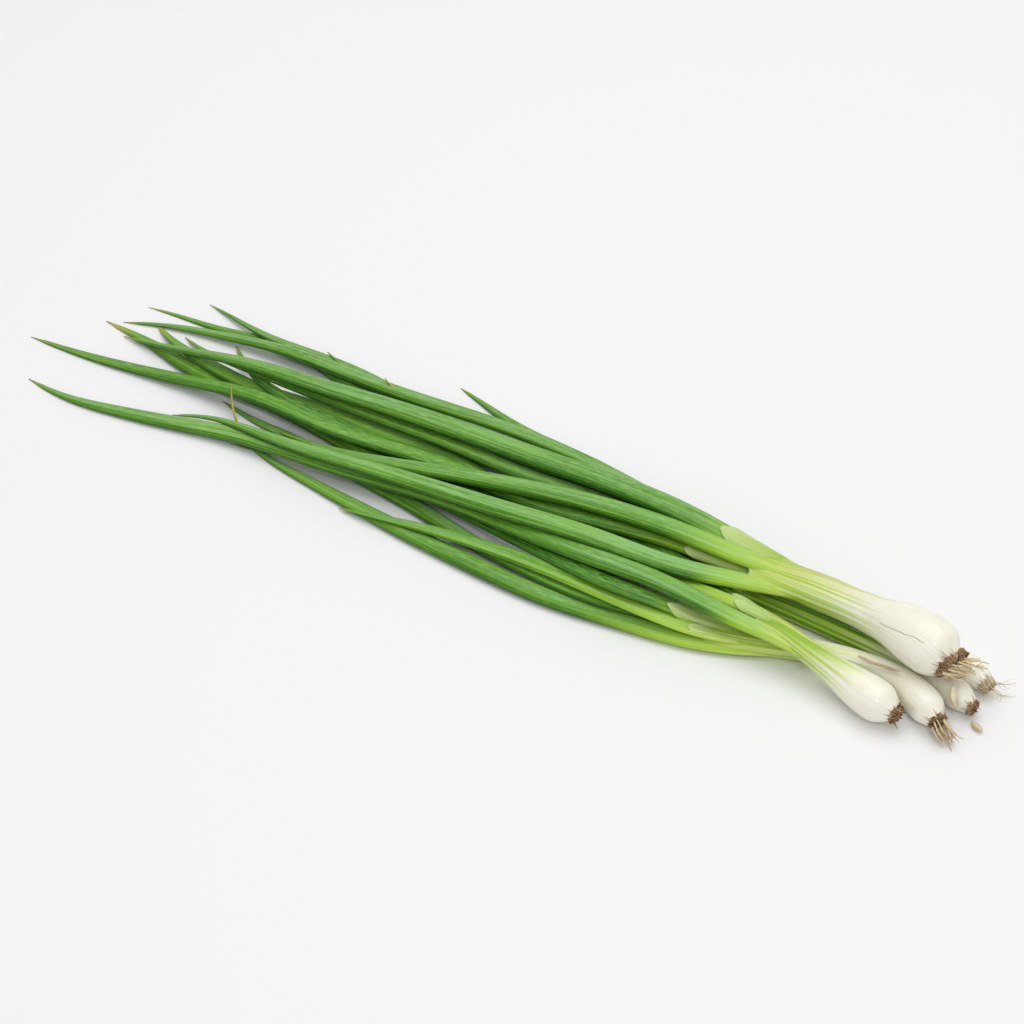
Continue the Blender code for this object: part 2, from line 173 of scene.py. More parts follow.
# Roots of each plant: how many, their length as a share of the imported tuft's, how far they spread, their
# thickness, how much they wave, how light they are, and the root plate's size, thickness and lightness.
RootLook = namedtuple("RootLook", "count reach spread thick wave light plate crust crust_light")
ROOTS = {
    "a": RootLook(34, 0.85, 0.28, 0.75, 0.30, 1.0, 1.20, 2.2, 0.08),
    "b": RootLook(14, 0.50, 0.7, 0.50, 0.3, 0.15, 1.10, 1.3, 0.05),
    "c": RootLook(32, 0.80, 0.30, 0.55, 0.25, 0.85, 1.15, 1.8, 0.05),
    "d": RootLook(8, 0.5, 0.9, 0.35, 0.3, 0.30, 1.10, 1.2, 0.15),
    "e": RootLook(9, 0.9, 0.8, 0.24, 0.8, 0.80, 1.15, 1.9, 0.55),
}

# A dried scrap of skin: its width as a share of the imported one's, half the angle that it curls through, how
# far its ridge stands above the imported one's middle, and how light it is.
ScrapLook = namedtuple("ScrapLook", "widen curl rise shade")
DRY_SKINS = {
    "dry_skin_strip": ScrapLook(0.9, 75, 0.9, 0.45),
    "dry_skin_flake_large": ScrapLook(0.9, 60, 0.6, 1.0),
    "dry_skin_flake_small": ScrapLook(1.1, 60, 0.8, 1.0),
}


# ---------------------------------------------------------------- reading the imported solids


def read_solid(node):
    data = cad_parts[node].data
    points = np.empty(len(data.vertices) * 3, np.float32)
    data.vertices.foreach_get("co", points)
    edges = np.empty(len(data.edges) * 2, np.int32)
    data.edges.foreach_get("vertices", edges)
    return points.reshape(-1, 3).astype(float) / MM, edges.reshape(-1, 2)


def cut(solid, place, heading, reach=UNLIMITED):
    """Where the plane through place, square to heading, crosses the solid's edges within reach of place."""
    points, edges = solid
    side = (points - place) @ heading
    first, second = edges.T
    crossing = (side[first] > 0) != (side[second] > 0)
    first, second = first[crossing], second[crossing]
    share = side[first] / (side[first] - side[second])
    found = points[first] + share[:, None] * (points[second] - points[first])
    return found[np.linalg.norm(found - place, axis=1) < reach]


def distance_along(places):
    steps = np.linalg.norm(np.diff(places[:, :3], axis=0), axis=1)
    return np.concatenate([[0], np.cumsum(steps)])


def sample(rows, along, at):
    return np.stack([np.interp(at, along, column) for column in rows.T], axis=1)


def evenly(rows, step):
    along = distance_along(rows)
    return sample(rows, along, np.linspace(0, along[-1], int(round(along[-1] / step)) + 1))


def softened(rows, reach):
    """rows smoothed along their length over about reach rows each way, with both ends kept."""
    offsets = np.arange(-3 * reach, 3 * reach + 1)
    weights = np.exp(-0.5 * (offsets / reach) ** 2)
    weights /= weights.sum()
    before = 2 * rows[0] - rows[3 * reach : 0 : -1]
    after = 2 * rows[-1] - rows[-2 : -3 * reach - 2 : -1]
    padded = np.concatenate([before, rows, after])
    return np.stack([np.convolve(column, weights, "valid") for column in padded.T], axis=1)


def unit(vectors):
    return vectors / np.linalg.norm(vectors, axis=-1, keepdims=True)


def headings(places):
    return unit(np.gradient(places, axis=0))


def sides(heading):
    """The level direction across heading, and the upward one square to both."""
    across = unit(np.cross(heading, UPRIGHT))
    return across, np.cross(across, heading)


def measure(solid, places, reach):
    """Rows of x, y, z, half width, half height for the solid's sections at places."""
    rows = []
    for place, heading in zip(places, headings(places)):
        offsets = cut(solid, place, heading, reach) - place
        middle, half = place.copy(), []
        for side in sides(heading):
            low, high = (offsets @ side).min(), (offsets @ side).max()
            middle += side * (low + high) / 2
            half.append((high - low) / 2)
        rows.append((*middle, *half))
    return np.array(rows)


def level_middles(solid, margin, count):
    """Middles of the solid's sections square to +X, from near its +X end to near the other."""
    ends = solid[0][:, 0].max() - margin, solid[0][:, 0].min() + margin
    rings = [cut(solid, LEVEL * x, LEVEL) for x in np.linspace(*ends, count)]
    return np.array([(ring.max(axis=0) + ring.min(axis=0)) / 2 for ring in rings])


def flat_end(solid, outward, corners):
    """The middle of the solid's flat end that lies furthest along outward, and the direction it faces."""
    points = np.unique(np.round(solid[0], 3), axis=0)
    for _ in range(4):
        ring = points[np.argsort(points @ outward)[-corners:]]
        normal = np.linalg.svd(ring - ring.mean(axis=0))[2][2]
        outward = normal * np.sign(normal @ outward)
    return ring.mean(axis=0), outward


def trace(node, corners, step, straight, reach, margin=3.5):
    """Rows of x, y, z, half width, half height along a solid, from its +X end to the other. The first
    stretch, straight millimetres long, runs square to the solid's flat end."""
    solid = read_solid(node)
    middles = level_middles(solid, margin, count=150)
    head, outward = flat_end(solid, unit(middles[0] - middles[5]), corners)
    tail, _ = flat_end(solid, unit(middles[-1] - middles[-6]), corners)
    start = head - outward * np.linspace(0, straight, 9)[:, None]
    clear = middles[(middles - head) @ outward < -1.7 * straight]
    places = softened(evenly(np.concatenate([start, clear, [tail]]), step), 3)
    rows = softened(measure(solid, places[1:-1], reach), 3)
    first, last = rows[0].copy(), rows[-1].copy()
    first[:3], last[:3] = head, tail
    return np.concatenate([[first], rows, [last]])


def trace_leaf(node):
    return trace(node, corners=PACKED_LEAF_CORNERS, step=SPACING, straight=2, reach=15)


def trace_stem(node):
    return trace(node, corners=PACKED_STEM_CORNERS, step=STEM_SPACING, straight=8, reach=30)


# ---------------------------------------------------------------- meshes


Tube = namedtuple("Tube", "points quads triangles uv values")


def tube(rings, around, along, **values):
    """A closed tube through rings (count, corners, 3). around and along, in millimetres, are its size on the
    strands map. values are numbers that the materials read: one for all, or one for each ring or point."""
    count, corners, _ = rings.shape
    points = np.concatenate([rings.reshape(-1, 3), rings[[0, -1]].mean(axis=1)])
    i, j = np.meshgrid(np.arange(count - 1), np.arange(corners), indexing="ij")
    here, after = i * corners + j, i * corners + (j + 1) % corners
    quads = np.stack([here, here + corners, after + corners, after], axis=-1).reshape(-1, 4)
    k = np.arange(corners)
    last = (count - 1) * corners
    foot, tip = np.full(corners, count * corners), np.full(corners, count * corners + 1)
    triangles = np.concatenate([
        np.stack([k, (k + 1) % corners, foot], axis=1),
        np.stack([last + (k + 1) % corners, last + k, tip], axis=1),
    ])
    pitch = around / corners
    u = np.stack([j, j, j + 1, j + 1], axis=-1) * pitch
    v = np.stack([along[i], along[i + 1], along[i + 1], along[i]], axis=-1)
    first, second = np.stack([k, k + 1, k + 0.5], axis=1), np.stack([k + 1, k, k + 0.5], axis=1)
    caps = np.concatenate([first, second]) * pitch
    ends = np.repeat([along[0], along[-1]], corners)[:, None] * np.ones(3)
    uv = np.concatenate([np.stack(pair, axis=-1).reshape(-1, 2) for pair in ((u, v), (caps, ends))])
    for key, value in values.items():
        full = np.broadcast_to(np.asarray(value, float), (count, corners))
        values[key] = np.concatenate([full.ravel(), full[[0, -1]].mean(axis=1)])
    return Tube(points, quads, triangles, uv, values)


def add_mesh(name, tubes):
    """One smooth mesh object of several tubes, with their strands map and values, in metres."""
    starts = np.concatenate([[0], np.cumsum([len(t.points) for t in tubes])])
    points = np.concatenate([t.points for t in tubes]) * MM
    faces, uv = [], []
    for t, start in zip(tubes, starts):
        faces += (t.quads + start).tolist() + (t.triangles + start).tolist()
        uv.append(t.uv)
    mesh = bpy.data.meshes.new(name)
    mesh.from_pydata(points.tolist(), [], faces)
    mesh.uv_layers.new(name="strands").data.foreach_set("uv", np.concatenate(uv).astype(np.float32).ravel())
    for key in tubes[0].values:
        attribute = mesh.attributes.new(key, "FLOAT", "POINT")
        attribute.data.foreach_set("value", np.concatenate([t.values[key] for t in tubes]).astype(np.float32))
    mesh.shade_smooth()
    piece = bpy.data.objects.new(name, mesh)
    bpy.context.scene.collection.objects.link(piece)
    return piece


def round_rings(places, radius, corners):
    """Circles round places, each with its own radius."""
    across, up = sides(headings(places))
    angle = np.linspace(0, 2 * math.pi, corners, endpoint=False)
    aside, upward = radius * np.cos(angle), radius * np.sin(angle)
    return places[:, None] + across[:, None] * aside[..., None] + up[:, None] * upward[..., None]


def place_piece(piece, material, slot, *nodes):
    piece.data.materials.append(material)
    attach(piece, "root")
    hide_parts(*nodes)
    return piece


# ---------------------------------------------------------------- node materials


class Shade:
    """Shorthand for building a node material on a Principled shader."""

    def __init__(self, name, **settings):
        self.material = bpy.data.materials.new(name)
        self.material.use_nodes = True
        self.tree = self.material.node_tree
        self.shader = self.tree.nodes["Principled BSDF"]
        for socket, value in settings.items():
            self.put(self.shader.inputs[socket.replace("_", " ")], value)

    def put(self, socket, value):
        if isinstance(value, bpy.types.NodeSocket):
            self.tree.links.new(value, socket)
        else:
            socket.default_value = value

    def add(self, kind, inputs, **settings):
        node = self.tree.nodes.new("ShaderNode" + kind)
        for key, value in settings.items():
            setattr(node, key, value)
        for key, value in inputs.items():
            self.put(node.inputs[key], value)
        return node

    def value(self, name):
        return self.add("Attribute", {}, attribute_name=name).outputs["Fac"]

    def math(self, operation, a, b=0.0, clamp=False):
        return self.add("Math", {0: a, 1: b}, operation=operation, use_clamp=clamp).outputs[0]

    def fade(self, value, low, high, start=0.0, end=1.0):
        inputs = {"Value": value, "From Min": low, "From Max": high, "To Min": start, "To Max": end}
        return self.add("MapRange", inputs, interpolation_type="SMOOTHSTEP").outputs[0]

    def mix(self, share, a, b, blend="MIX"):
        """Colour a turned into colour b by share."""
        a, b = ((*c, 1) if isinstance(c, tuple) else c for c in (a, b))
        return self.add("Mix", {0: share, 6: a, 7: b}, data_type="RGBA", blend_type=blend).outputs[2]

    def noise(self, across, along, detail=2.0, seed=0.0, distortion=0.0):
        """Noise on the strands map, with that many cells a millimetre across and along."""
        strands = self.add("UVMap", {}, uv_map="strands").outputs["UV"]
        cells = (across, along, 1)
        stretched = self.add("VectorMath", {0: strands, 1: cells}, operation="MULTIPLY").outputs[0]
        shifted = self.math("MULTIPLY", self.value("seed"), 37.0)
        offset = self.add("CombineXYZ", {0: seed, 1: shifted, 2: seed})
        place = self.add("VectorMath", {0: stretched, 1: offset.outputs[0]}, operation="ADD").outputs[0]
        inputs = {"Vector": place, "Scale": 1.0, "Detail": detail, "Distortion": distortion}
        return self.add("TexNoise", inputs).outputs[0]

    def bump(self, height, strength, distance):
        inputs = {"Height": height, "Strength": strength, "Distance": distance}
        self.put(self.shader.inputs["Normal"], self.add("Bump", inputs).outputs[0])


def young_green(m, stripes, thin):
    """The striped green that necks and leaves share where they meet."""
    colour = m.mix(stripes, (0.62, 0.72, 0.20), (0.36, 0.57, 0.02))
    return m.mix(m.math("MULTIPLY", thin, 0.45), colour, (0.50, 0.67, 0.10))


def leaf_material():
    m = Shade("leaf_skin", IOR=1.42)
    growth, tip = m.value("growth"), m.value("tip")
    dashes = m.fade(m.noise(2.3, 0.20, detail=2), 0.42, 0.66)
    lines = m.fade(m.noise(0.9, 0.012, seed=3.0), 0.38, 0.62)
    patches = m.fade(m.noise(0.16, 0.012, detail=3, seed=7.0), 0.3, 0.7)
    tone = m.math("ADD", m.math("MULTIPLY", lines, 0.35), m.math("MULTIPLY", patches, 0.40))
    tone = m.math("ADD", tone, m.math("MULTIPLY", m.value("tone"), 0.7))
    tone = m.math("SUBTRACT", tone, 0.28, clamp=True)
    colour = m.mix(tone, (0.022, 0.15, 0.001), (0.17, 0.42, 0.010))
    turned = m.math("ADD", m.value("lit"), m.math("MULTIPLY", m.math("SUBTRACT", lines, 0.5), 0.5))
    # Painted shade: where a leaf turns away from the light, its colour is darkened towards a deep green.
    colour = m.mix(m.fade(turned, -0.9, 0.2, 0.85, 0.0), colour, (0.010, 0.09, 0.001))
    # Towards the light a leaf gets more pale dashes and its whitish bloom: real bloom and dashes, with painted
    # sheen and painted light on the lit side.
    lit_side = m.fade(turned, -0.3, 0.6)
    dashed = m.math("ADD", m.math("MULTIPLY", lit_side, 0.4), 0.15)
    colour = m.mix(m.math("MULTIPLY", dashes, dashed), colour, (0.30, 0.56, 0.07))
    lime = m.fade(m.math("DIVIDE", growth, m.value("lime")), 0.0, 1.0, 1.0, 0.0)
    limes = m.mix(lines, (0.24, 0.50, 0.008), (0.40, 0.63, 0.05))
    colour = m.mix(lime, colour, limes)
    worn = m.fade(m.noise(0.7, 0.02, detail=3, seed=11.0), 0.25, 0.7)
    bloom = m.math("MULTIPLY", m.math("MULTIPLY", m.value("bloom"), lit_side), worn)
    colour = m.mix(m.math("MULTIPLY", bloom, 0.65), colour, (0.33, 0.59, 0.24))
    striped = m.math("ADD", growth, m.math("MULTIPLY", lines, 12.0))
    base = m.fade(striped, -18.0, m.math("MULTIPLY", m.value("lime"), 0.5), 1.0, 0.0)
    colour = m.mix(base, colour, young_green(m, lines, dashes))
    wilted = m.fade(m.math("SUBTRACT", tip, m.value("dry")), -0.02, 0.03, 1.0, 0.0)
    colour = m.mix(wilted, colour, m.mix(lines, (0.32, 0.30, 0.02), (0.52, 0.50, 0.10)))
    crisp = m.fade(tip, 0.0, 0.012, 1.0, 0.0)
    colour = m.mix(crisp, colour, (0.34, 0.15, 0.04))
    m.put(m.shader.inputs["Base Color"], colour)
    m.put(m.shader.inputs["Roughness"], m.math("ADD", m.math("MULTIPLY", bloom, 0.2), 0.34))
    m.bump(m.math("ADD", dashes, m.math("MULTIPLY", lines, 0.8)), 0.35, 0.0003)
    return m.material


def sheath_material():
    m = Shade("sheath_skin", IOR=1.42, Subsurface_Weight=0.15, Subsurface_Scale=0.003)
    m.put(m.shader.inputs["Subsurface Radius"], (1.0, 0.8, 0.4))
    height = m.value("height")  # 0 at the root plate, 1 at the fork
    stripes = m.fade(m.noise(0.55, 0.004, detail=2, seed=1.0), 0.40, 0.60)
    thin = m.fade(m.noise(1.6, 0.012, detail=2, seed=5.0), 0.42, 0.62)
    swing = m.math("MULTIPLY", m.math("SUBTRACT", stripes, 0.5), 0.22)
    reach = m.math("ADD", m.math("MULTIPLY", height, m.math("ADD", m.value("green"), 1.0)), swing)
    cloud = m.fade(m.noise(0.12, 0.06, seed=2.0), 0.3, 0.7)
    ivory = m.mix(cloud, (0.86, 0.83, 0.67), (0.92, 0.91, 0.80))
    cream = m.mix(m.math("MULTIPLY", thin, 0.7), (0.76, 0.82, 0.46), (0.52, 0.68, 0.14))
    colour = m.mix(m.fade(reach, 0.30, 0.60), ivory, cream)
    green = young_green(m, stripes, thin)
    greener = m.math("MULTIPLY", m.value("green"), 2.0)
    green = m.mix(greener, green, m.mix(stripes, (0.42, 0.56, 0.07), (0.11, 0.32, 0.005)))
    colour = m.mix(m.fade(reach, 0.45, 0.85), colour, green)
    foot = m.math("ADD", height, m.math("MULTIPLY", m.noise(0.9, 0.12, detail=4, seed=9.0), 0.16))
    colour = m.mix(m.fade(foot, 0.070, 0.105, 0.8, 0.0), colour, (0.34, 0.18, 0.06))
    ochre = m.math("MULTIPLY", m.value("ochre"), m.fade(m.noise(0.3, 0.04, detail=3, seed=13.0), 0.3, 0.7))
    colour = m.mix(ochre, colour, (0.62, 0.44, 0.12))
    seam = m.math("ADD", m.value("seam"), m.math("MULTIPLY", m.noise(0.05, 0.15, detail=4, seed=17.0), 2.2))
    seam = m.math("ABSOLUTE", m.math("SUBTRACT", seam, 1.1))
    colour = m.mix(m.fade(seam, 0.08, 0.34, 0.6, 0.0), colour, (0.40, 0.24, 0.11))
    membrane = m.math("MULTIPLY", m.value("membrane"), m.fade(thin, 0.0, 1.0, 0.75, 0.35))
    colour = m.mix(membrane, colour, (0.68, 0.80, 0.42))
    m.put(m.shader.inputs["Base Color"], colour)
    m.put(m.shader.inputs["Roughness"], m.fade(height, 0.3, 0.8, 0.12, 0.36))
    m.bump(m.math("ADD", thin, stripes), 0.22, 0.0003)
    return m.material


def root_material():
    m = Shade("root_fibre", Roughness=0.75)
    mottle = m.fade(m.noise(1.6, 0.9, detail=4), 0.38, 0.62)
    dark = m.mix(mottle, (0.045, 0.014, 0.003), (0.34, 0.17, 0.055))
    light = m.mix(mottle, (0.70, 0.52, 0.26), (0.90, 0.80, 0.56))
    m.put(m.shader.inputs["Base Color"], m.mix(m.value("shade"), dark, light))
    m.bump(mottle, 0.5, 0.0003)
    return m.material


def dry_skin_material():
    m = Shade("dry_skin", Roughness=0.6)
    veins = m.fade(m.noise(0.9, 0.03, detail=3), 0.40, 0.62)
    cloud = m.fade(m.noise(0.25, 0.12, detail=4, seed=4.0), 0.35, 0.65)
    dark = m.mix(veins, (0.34, 0.19, 0.07), (0.16, 0.07, 0.02))
    light = m.mix(veins, (0.84, 0.77, 0.58), (0.68, 0.53, 0.30))
    clouded = m.math("MULTIPLY", m.math("SUBTRACT", cloud, 0.5), 0.5)
    share = m.math("ADD", m.value("shade"), clouded, clamp=True)
    m.put(m.shader.inputs["Base Color"], m.mix(share, dark, light))
    m.bump(veins, 0.4, 0.0003)
    return m.material


# ---------------------------------------------------------------- plants


def leaf_in_neck(stem, leaf, look):
    """Rows of a leaf from deep inside its neck to its tip, and each row's distance past the fork."""
    along = distance_along(stem)
    depth = np.arange(min(ROOTED, ROOTED_SHARE * along[-1]), 0, -SPACING)
    inside = sample(stem, along, along[-1] - depth)
    heading = headings(stem[:, :3])[-1]
    across, up = sides(heading)
    offset = leaf[0, :3] - stem[-1, :3]
    share = offset @ across / stem[-1, 3], offset @ up / stem[-1, 4]
    narrowing = 1 - ROOTED_NARROWING * depth
    a, u = sides(headings(inside[:, :3]))
    proud = 1 + look.proud * np.sin(np.pi * np.clip(depth / PROUD_REACH, 0, 1))
    places = inside[:, :3].copy()
    places += a * (share[0] * inside[:, 3] * narrowing * proud)[:, None]
    places += u * (share[1] * inside[:, 4] * narrowing * proud)[:, None]
    half = np.stack([leaf[0, 3] * narrowing, leaf[0, 4] * narrowing], axis=1)
    rows = np.concatenate([np.column_stack([places, half]), leaf])
    growth = np.concatenate([-depth, distance_along(leaf)])
    return softened(rows, 4), growth


def build_wisp(wisp, rows, look, rng):
    """A thin tip that parts from the leaf with those rows."""
    along = distance_along(rows)
    begin = int(np.searchsorted(along, along[-1] - wisp.back))
    heading = headings(rows[:, :3])[begin]
    steps = np.linspace(0, wisp.length, int(wisp.length / WISP_SPACING))
    turned = math.atan2(heading[1], heading[0]) + math.radians(wisp.turn) * steps / wisp.length
    climb = math.radians(wisp.climb)
    level = math.cos(climb)
    climbing = np.full(len(steps), math.sin(climb))
    ahead = np.stack([level * np.cos(turned), level * np.sin(turned), climbing], axis=1)
    places = rows[begin, :3] + np.cumsum(ahead, axis=0) * steps[1]
    t = np.linspace(0, 1, len(places))[:, None]
    rings = round_rings(places, wisp.thick * (1 - 0.7 * t), WISP_SIDES)
    values = {"growth": 200, "tip": 0.5 * (1 - t), "tone": 0.6, "bloom": 0.2, "lime": look.lime}
    values.update(dry=wisp.dried * 0.6 + 0.01, seed=rng.uniform(0, 1), lit=0.3)
    return tube(rings, 6 * wisp.thick, distance_along(places), **values)


def build_leaf(node, rows, growth, seed, material):
    """A hollow leaf's outer skin, grooved along its top and a little faceted, with its side tips."""
    look = LEAVES[node]
    rng = np.random.default_rng(seed)
    along = distance_along(rows)
    angle = np.linspace(0, 2 * math.pi, LEAF_SIDES, endpoint=False) - math.pi / 2
    c, s = np.cos(angle)[None], np.sin(angle)[None]
    wave = [np.interp(along, np.linspace(0, along[-1], 9), rng.uniform(-1, 1, 9)) for _ in range(4)]
    wave = [softened(w[:, None], 5) for w in wave]
    width = rows[:, 3:4] * (LEAF_FULLNESS + WIDTH_SWING * wave[0]) * WIDENED.get(node, 1.0)
    height = rows[:, 4:5] * (LEAF_FULLNESS + HEIGHT_SWING * wave[1])
    tip = 1 - along / along[-1]
    point = np.clip(tip[:, None] / 0.02, 0.12, 1) ** 0.6
    groove = (0.06 + 0.08 * wave[2]) * np.exp(-(((c - 0.3 * wave[3]) / 0.45) ** 2)) * np.clip(s, 0, 1)
    facets = 1 + 0.012 * np.cos(5 * angle[None] + 2 * wave[3] + rng.uniform(0, 6))
    aside = width * c * facets * point
    upward = height * (s - groove) * facets * point
    a, u = sides(headings(rows[:, :3]))
    rings = rows[:, None, :3] + a[:, None] * aside[..., None] + u[:, None] * upward[..., None]
    rings[..., 2] = np.maximum(rings[..., 2], FLOOR_GAP)
    # lit: how far each point faces the light-and-bloom side, which the leaf material turns into painted sheen and
    # painted shade.
    lit = (a[:, None] * c[..., None] + u[:, None] * s[..., None]) @ unit(np.array(LIGHT_AND_BLOOM_SIDE))
    values = {"growth": growth[:, None], "tip": tip[:, None], "tone": look.tone, "bloom": look.bloom}
    values.update(lime=look.lime, dry=look.dry, seed=rng.uniform(0, 1), lit=lit)
    around = 4 * (rows[:, 3].mean() + rows[:, 4].mean())
    tubes = [tube(rings, around, growth, **values)]
    tubes += [build_wisp(wisp, rows, look, rng) for wisp in WISPS if wisp.leaf == node]
    piece = add_mesh(node.replace("onion_", "leaf_").replace("_leaf", ""), tubes)
    return place_piece(piece, material, "leaf_blade", node)


def hull_radius(stem_place, heading, leaves, angle, creased):
    """How far the skin round the leaves' sections lies from the stem's axis, at each angle: stretched tight
    where creased is 0, sunk between the leaves where it is 1. leaves are pairs of a leaf's rows and the share
    of them that counts."""
    across, up = sides(heading)
    turn = np.linspace(0, 2 * math.pi, 144, endpoint=False)
    ray = np.cos(angle), np.sin(angle)
    support, surface = np.full(len(turn), -UNLIMITED), np.zeros(len(angle))
    for rows, share in leaves:
        ahead = (rows[:, :3] - stem_place) @ heading
        at = sample(rows, ahead, [0])[0]
        offset = share * (at[:3] - stem_place)
        p, q = offset @ across, offset @ up
        w, h = share * at[3], share * at[4]
        spread = np.hypot(w * np.cos(turn), h * np.sin(turn))
        support = np.maximum(support, p * np.cos(turn) + q * np.sin(turn) + spread)
        a = (ray[0] / w) ** 2 + (ray[1] / h) ** 2
        b = ray[0] * p / w**2 + ray[1] * q / h**2
        inside = b**2 - a * ((p / w) ** 2 + (q / h) ** 2 - 1)
        hit = (b + np.sqrt(np.maximum(inside, 0))) / a
        surface = np.maximum(surface, np.where(inside > 0, hit, 0))
    facing = np.cos(angle[:, None] - turn[None])
    reach = np.where(facing > 0.05, support[None] / np.maximum(facing, 0.05), UNLIMITED)
    tight = reach.min(axis=1)
    sunk = np.maximum(surface, CREASE_LIMIT * tight)
    sunk = (np.roll(sunk, 1) + 2 * sunk + np.roll(sunk, -1)) / 4
    return tight + creased * (sunk - tight)


def stem_radius(axis, along, fork, leaves, angle, rng):
    """The sheath's radius at each place along its axis and each angle: the bulb's own shape, drawn over the
    leaves' sections near the fork, with fine ridges."""
    c, s = np.cos(angle), np.sin(angle)
    radius = axis[:, 3:4] * axis[:, 4:5] / np.hypot(axis[:, 4:5] * c, axis[:, 3:4] * s)
    heading = headings(axis[:, :3])
    for k, place in enumerate(axis[:, :3]):
        share = np.clip((along[k] - fork + DRAWN_FROM) / DRAWN_OVER, 0, 1)
        if share > 0:
            share = share * share * (3 - 2 * share)
            creased = 0.9 * np.clip((along[k] - fork + CREASED_FROM) / CREASED_OVER, 0, 1)
            stretched = hull_radius(place, heading[k], leaves, angle, creased) + SHEATH_CLEARANCE
            radius[k] += share * (stretched - radius[k])
    radius = softened(radius, 2)
    radius *= 1 + SHOULDER * np.exp(-(((along[:, None] - 5) / 5) ** 2))
    neck = np.clip((along - 0.25 * fork) / (0.3 * fork), 0, 1)[:, None]
    first, second = rng.uniform(0, 6, 2)
    ridges = np.cos(RIDGES[0] * angle + first) + np.cos(RIDGES[1] * angle + second)
    return radius + (0.02 + 0.08 * neck) * ridges[None]


def build_sheath(plant, stem, leaves, rng):
    """The bulb with its neck, whose skin ends in an uneven rim a little past the fork."""
    look = SHEATHS[plant]
    beyond = np.arange(STEM_SPACING, SHEATH_REACH + 1, STEM_SPACING)
    more = np.repeat(stem[-1:], len(beyond), axis=0)
    more[:, :3] += headings(stem[:, :3])[-1] * beyond[:, None]
    axis = np.concatenate([stem, more])
    along = distance_along(axis)
    fork = distance_along(stem)[-1]
    angle = np.linspace(0, 2 * math.pi, STEM_SIDES, endpoint=False) - math.pi / 2
    radius = stem_radius(axis, along, fork, leaves, angle, rng)
    turn = rng.uniform(0, 6, 3)
    rim = fork + look.rim + look.swing * np.cos(angle - math.radians(look.furthest))
    rim += 0.35 * look.swing * np.cos(3 * angle + turn[0]) + 0.2 * look.swing * np.cos(7 * angle + turn[1])
    count = int(fork / STEM_SPACING)
    share = np.linspace(0, 1, count)[:, None]
    back, depth = np.array(RIM_FOLD).T[..., None]
    folded = rim[None] - back
    at = np.concatenate([share * rim[None], folded])
    thinning = 0.15 * np.clip((share - 0.9) / 0.1, 0, 1)
    thickness = np.concatenate([thinning, depth])
    place, (a, u) = axis[:, :3], sides(headings(axis[:, :3]))
    place, a, u = (np.stack([np.interp(at, along, v) for v in rows.T], axis=-1) for rows in (place, a, u))
    r = np.stack([np.interp(at[:, j], along, radius[:, j]) for j in range(STEM_SIDES)], axis=1) - thickness
    rings = place + a * (r * np.cos(angle))[..., None] + u * (r * np.sin(angle))[..., None]
    rings[..., 2] = np.maximum(rings[..., 2], SHEATH_FLOOR_GAP)
    seam = np.full(at.shape, FAR_FROM_SEAM)
    if plant == SEAMED:
        path = np.radians(np.interp(at, SEAM_PLACES, SEAM_ANGLES))
        seamed = (at > SEAM_PLACES[0]) & (at < SEAM_PLACES[-1])
        seam = np.where(seamed, r * (angle[None] - path), FAR_FROM_SEAM)
    facing = np.clip(np.cos(angle - math.radians(60)), 0, 1)
    ochre = look.ochre * np.exp(-(((at / fork - 0.62) / 0.14) ** 2)) * facing
    membrane = 0.6 * np.clip(1 - (rim[None] - at) / 5, 0, 1) ** 2
    values = {"height": at / fork, "green": look.green, "ochre": ochre, "seam": seam, "membrane": membrane}
    around = 2 * math.pi * stem[len(stem) // 2, 3]
    return tube(rings, around, at.mean(axis=1), seed=rng.uniform(0, 1), **values)


def thin_strip(place, across, up, radius, middle, half, thickness, lift):
    """Rings of a thin curved strip: at each place an arc with that middle angle and half angle, whose radius
    is given at STRIP_SIDES points."""
    angle = middle[:, None] + half[:, None] * np.linspace(-1, 1, STRIP_SIDES)
    angle = np.concatenate([angle, angle[:, ::-1]], axis=1)
    r = np.concatenate([radius, radius[:, ::-1] - thickness], axis=1)
    aside, upward = r * np.cos(angle), r * np.sin(angle) + lift[:, None]
    return place[:, None] + across[:, None] * aside[..., None] + up[:, None] * upward[..., None]


def build_tongue(tongue, rows, growth, rng):
    """A tongue of sheath skin that clings to a leaf's base and ends in a ragged, slightly lifted point."""
    at = np.linspace(tongue.start, tongue.end, TONGUE_RINGS)
    t = np.linspace(0, 1, TONGUE_RINGS)
    places = sample(rows, growth, at)
    across, up = sides(headings(places[:, :3]))
    ragged = 1 + 0.05 * softened(rng.normal(0, 1, (TONGUE_RINGS, 1)), 1)[:, 0]
    half = np.radians(tongue.spread) * np.clip(1 - t**3, 0.01, 1) ** 0.8 * ragged
    middle = np.radians(tongue.middle + 70 * (t - 0.5))
    angle = middle[:, None] + half[:, None] * np.linspace(-1, 1, STRIP_SIDES)
    width, height = places[:, 3:4] * TONGUE_FULLNESS, places[:, 4:5] * TONGUE_FULLNESS
    radius = width * height / np.hypot(height * np.cos(angle), width * np.sin(angle))
    buried = 0.7 * np.clip(1 - t[:, None] / 0.25, 0, 1)
    radius = radius + 0.10 + 0.10 * t[:, None] + 0.8 * t[:, None] ** 8 - buried
    lift = np.zeros(TONGUE_RINGS)
    rings = thin_strip(places[:, :3], across, up, radius, middle, half, TONGUE_THICKNESS, lift)
    membrane = 0.8 * t[:, None] ** 1.3
    values = {"height": 0.9, "green": 0.05, "ochre": 0.0, "seam": FAR_FROM_SEAM, "membrane": membrane}
    return tube(rings, 5 * places[0, 3], at, seed=rng.uniform(0, 1), **values)


